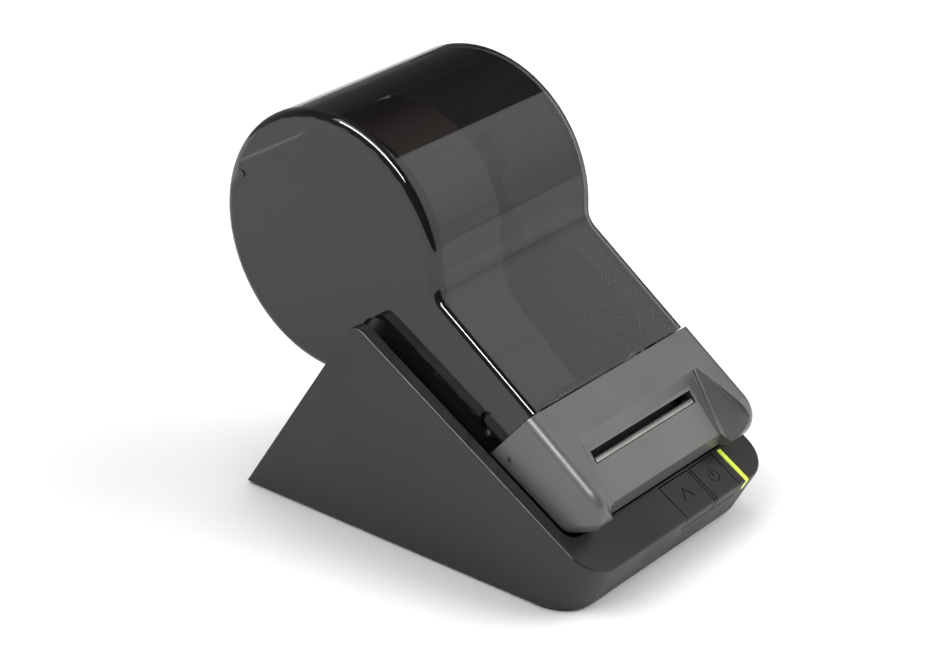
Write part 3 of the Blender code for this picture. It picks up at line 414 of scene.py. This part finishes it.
DRAWN = (0.05, 1.0, 1.0)  # lines along X
FINISHES = {
    "stand_plastic": moulded(
        "stand_plastic", (0.0225, 0.0200, 0.0183), 0.42, 0.00036, 0.000028,
        wear=0.35, handled=0.2, Specular_IOR_Level=0.36,
    ),
    "body_plastic": moulded("body_plastic", (0.011, 0.010, 0.0095), 0.30, 0.0005, 0.00001, wear=0.2),
    "cap_plastic": moulded(
        "cap_plastic", (0.130, 0.125, 0.120), 0.36, 0.00030, 0.000022, wear=0.2, metallic=0.35, mottle=0.05,
    ),
    "smoke_plastic": smoked(),
    "rubber": rubber("rubber", (0.016, 0.016, 0.017)),
    "steel": metal("steel", (0.56, 0.56, 0.57), 0.26, DRAWN),
    "paper": paper_roll(),
    "spool_plastic": moulded("spool_plastic", (0.010, 0.010, 0.010), 0.5, 0.0005, 0.00002, wear=0.2),
    "board": circuit_board(),
    "part_plastic": moulded("part_plastic", (0.020, 0.020, 0.021), 0.45, 0.0004, 0.00002, wear=0.2),
    "light_pipe": lit_pipe(),
    "gear_plastic": moulded("gear_plastic", (0.72, 0.71, 0.65), 0.42, 0.0006, 0.00001, mottle=0.05),
    "aluminium": metal("aluminium", (0.66, 0.67, 0.69), 0.32, DRAWN),
    "ceramic": glazed(),
    "brass": metal("brass", (0.74, 0.55, 0.24), 0.24, DRAWN),
}
OWN_FINISH = {
    "label_strip": paper_strip(),
    "tear_bar": metal("tear_bar_steel", (0.33, 0.32, 0.31), 0.36, (1.0, 0.1, 0.1)),
}


# --------------------------------------------------------------------------- shells with moulded edges

# Rounding of the cut edges of each shell, in millimetres.
ROUNDED = {
    "base_shell": 0.35, "front_cap": 0.3, "body_housing": 0.3, "feed_button": 0.22,
    "power_button": 0.22, "mechanism_cover": 0.3, "spool_arm_left": 0.2, "spool_arm_right": 0.2,
    "base_bottom_plate": 0.3, "spool_spindle": 0.3, "spool_flange_left": 0.25, "spool_flange_right": 0.25,
}
SHARP = math.radians(33.0)  # edges that turn further than this are corners
FLAT = math.radians(0.4)  # faces that differ by less than this are one face
SAME_PLACE = 2e-6  # vertices this close are one vertex
SHORTEST = 2.2  # an edge shorter than this many roundings stays sharp


def softened(node, width):
    """The node's own solid with its coplanar triangles joined and its sharp edges rounded."""
    bm = bmesh.new()
    bm.from_mesh(NODES[node].data)
    bmesh.ops.remove_doubles(bm, verts=bm.verts, dist=SAME_PLACE)
    bmesh.ops.dissolve_limit(bm, angle_limit=FLAT, verts=bm.verts, edges=bm.edges)
    bm.normal_update()
    shortest = SHORTEST * width * MM
    sharp = [
        e for e in bm.edges
        if len(e.link_faces) == 2 and e.calc_face_angle(0.0) > SHARP and e.calc_length() > shortest
    ]
    bmesh.ops.bevel(
        bm, geom=sharp, offset=width * MM, segments=2, profile=0.6, affect="EDGES", clamp_overlap=False,
        loop_slide=True,
    )
    bmesh.ops.recalc_face_normals(bm, faces=bm.faces)
    mesh = bpy.data.meshes.new(node + "_shell")
    bm.to_mesh(mesh)
    bm.free()
    return add_object(node + "_shell", mesh)


def smooth(obj, weld=False):
    """Shades round stretches smooth, keeps flat faces flat and leaves corners crisp."""
    obj.data.shade_smooth()
    if weld:
        obj.modifiers.new("weld", "WELD").merge_threshold = SAME_PLACE
    split = obj.modifiers.new("corners", "EDGE_SPLIT")
    split.split_angle = SHARP
    split.use_edge_sharp = False
    obj.modifiers.new("shading", "WEIGHTED_NORMAL").keep_sharp = True


def dress(obj, node):
    obj.data.materials.clear()
    obj.data.materials.append(OWN_FINISH.get(node, FINISHES[SLOT_OF[node]]))


for node, obj in NODES.items():
    if node in ROUNDED:
        piece = softened(node, ROUNDED[node])
        dress(piece, node)
        smooth(piece)
        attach(piece, BODY_OF[node])
        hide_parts(node)
    else:
        dress(obj, node)
        smooth(obj, weld=True)


# --------------------------------------------------------------------------- studio

FLOOR_HALF = 1.6
FLOOR_DROP = 0.2 * MM  # keeps the floor clear of the feet
CONTACT_REACH = 0.045  # how far from the object its painted contact shadow runs


def floor():
    bm = bmesh.new()
    bmesh.ops.create_grid(bm, x_segments=4, y_segments=4, size=FLOOR_HALF)
    mesh = bpy.data.meshes.new("floor")
    bm.to_mesh(mesh)
    bm.free()
    obj = add_object("floor", mesh)
    obj.location.z = -FLOOR_DROP
    finish = Finish("floor_paper", 0.9, Emission_Strength=0.46)
    finish.colour(finish.mix(finish.level(finish.noise(0.3, 3.0)), (0.90, 0.90, 0.90), (0.92, 0.92, 0.92)))
    # Painted contact shadow: the floor's glow is cut to black where ambient occlusion finds the object close by.
    open_floor = finish.span(finish.openness(CONTACT_REACH, 6), 0.45, 1.0, 0.0, 1.0, False)
    glow_with_painted_shadow = finish.mix(open_floor, (0.0, 0.0, 0.0), (1.0, 1.0, 1.0))
    finish.wire(glow_with_painted_shadow, finish.shader.inputs["Emission Color"])
    obj.data.materials.append(finish.mat)


LIT_POINT = Vector((0.0, 0.0, 0.06))  # what the lights face


def softbox(name, azimuth, elevation, distance, size, power):
    """An area light of this width and height that faces the object."""
    data = bpy.data.lights.new(name, "AREA")
    data.shape = "RECTANGLE"
    data.size, data.size_y = size
    data.energy = power
    light = add_object(name, data)
    direction = outward(azimuth, elevation)
    light.location = LIT_POINT + direction * distance
    light.rotation_mode = "QUATERNION"
    light.rotation_quaternion = direction.to_track_quat("Z", "Y")
    return light


# Seen from the object, the studio has a bright wall to the front right, a dark gap to the right, a wall
# behind that brightens away from the gap, and dusk to the left. Angles are azimuths in degrees.
WALL_START, WALL_END, GAP_END, REAR_FULL = 22.0, 75.0, 118.0, 165.0
WALL_FADE, WALL_CUT = 14.0, 0.5  # how gradually the wall starts and ends
WALL_LOW, WALL_HIGH, REAR, OVERHEAD = 1.2, 1.65, 0.36, 0.3  # strengths
DUSK_LEFT, DUSK_FRONT = 0.22, 0.10


def studio():
    world = bpy.data.worlds.new("studio")
    bpy.context.scene.world = world
    world.use_nodes = True
    sky = Nodes(world.node_tree)
    for old in list(sky.tree.nodes):
        sky.tree.nodes.remove(old)
    parts = sky.split(sky.add("ShaderNodeTexCoord").outputs["Generated"])
    height = parts["Z"]
    azimuth = sky.math("ARCTAN2", parts["X"], sky.times(parts["Y"], -1.0))
    start, end = math.radians(WALL_START), math.radians(WALL_END)
    fade, cut = math.radians(WALL_FADE), math.radians(WALL_CUT)
    wall = sky.times(
        sky.span(azimuth, start - fade, start), sky.span(azimuth, end - cut, end + cut, 1.0, 0.0),
        sky.span(height, 0.0, 0.5, WALL_LOW, WALL_HIGH),
    )
    rear = sky.span(azimuth, math.radians(GAP_END), math.radians(REAR_FULL), 0.0, REAR)
    dusk = sky.span(azimuth, math.radians(-100.0), math.radians(-20.0), DUSK_LEFT, DUSK_FRONT)
    dusk = sky.times(dusk, sky.below(azimuth, start))
    level = sky.math("MAXIMUM", wall, sky.math("MAXIMUM", rear, dusk))
    overhead = sky.span(height, 0.86, 0.97)
    level = sky.plus(sky.times(level, sky.minus(1.0, overhead)), sky.times(overhead, OVERHEAD))

    # The camera itself sees plain white behind the floor.
    both = sky.add("ShaderNodeMixShader")
    sky.wire(sky.add("ShaderNodeLightPath").outputs["Is Camera Ray"], both.inputs[0])
    for socket, strength in ((both.inputs[1], level), (both.inputs[2], 1.0)):
        light = sky.add("ShaderNodeBackground")
        light.inputs["Color"].default_value = (1.0, 1.0, 1.0, 1.0)
        sky.wire(strength, light.inputs["Strength"])
        sky.wire(light.outputs[0], socket)
    sky.wire(both.outputs[0], sky.add("ShaderNodeOutputWorld").inputs[0])


floor()
studio()
softbox("key", -105.0, 50.0, 1.5, (1.2, 0.8), 9.5)
fill = softbox("fill", 42.0, 38.0, 1.5, (1.0, 0.8), 11.0)  # lights the front without a reflection of its own
fill.visible_glossy = False
strip = softbox("strip", -92.0, 45.0, 1.4, (1.4, 0.2), 34.0)  # only seen as a highlight on rounded edges
strip.visible_diffuse = False
